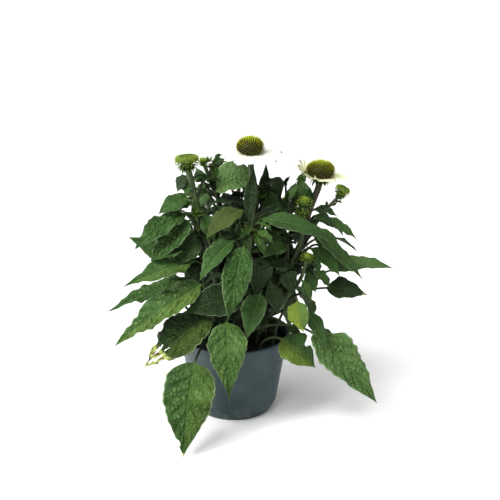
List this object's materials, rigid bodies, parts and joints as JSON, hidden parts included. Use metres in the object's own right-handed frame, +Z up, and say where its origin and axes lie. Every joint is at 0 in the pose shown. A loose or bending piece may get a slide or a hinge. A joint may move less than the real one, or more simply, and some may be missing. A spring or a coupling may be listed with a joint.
{
  "type": "purple coneflower plant",
  "caption": "Leafy coneflower plant with cone-centred white daisy blooms and green buds, growing in a plain round nursery pot.",
  "frame": {"origin": "centre of the flat underside of the pot, where it rests on the ground", "axes": "+Z up along the pot's axis; -Y towards the front of the plant, where the blooms and the large hanging leaves show; +X towards the plant's right as seen from the front"},
  "size_m": [0.347, 0.2868, 0.354],
  "materials": {
    "pot": "satin",
    "soil": "matte",
    "leaf": "satin",
    "yellowed_leaf": "satin",
    "petal": "matte",
    "cone": "matte",
    "bud": "matte"
  },
  "bodies": {
    "root": {"pot": "pot", "soil": "soil", "stem_left": "leaf", "stem_fork": "leaf", "stem_centre": "leaf", "stem_shaded": "leaf", "stem_right": "leaf", "stem_buds": "leaf", "stem_buds_front": "leaf", "stem_low": "leaf", "stem_rear_left": "leaf", "stem_rear": "leaf", "stem_rear_right": "leaf", "leaf_left_far": "leaf", "leaf_left_long": "leaf", "leaf_left_holed": "leaf", "leaf_left_broad": "leaf", "leaf_front_left": "leaf", "leaf_front": "leaf", "leaf_front_inner": "leaf", "leaf_right_large": "leaf", "leaf_right_torn": "leaf", "leaf_yellow": "yellowed_leaf", "leaf_left_side": "leaf", "leaf_rear_1": "leaf", "leaf_rear_2": "leaf", "leaf_rear_3": "leaf", "leaf_rear_4": "leaf", "leaf_rear_5": "leaf", "leaf_rear_6": "leaf", "bloom_centre_cone": "cone", "bloom_centre_rays": "petal", "bloom_right_cone": "cone", "bloom_right_rays": "petal", "bud_left_head": "bud", "bud_right_head": "bud"}
  },
  "joints": []
}
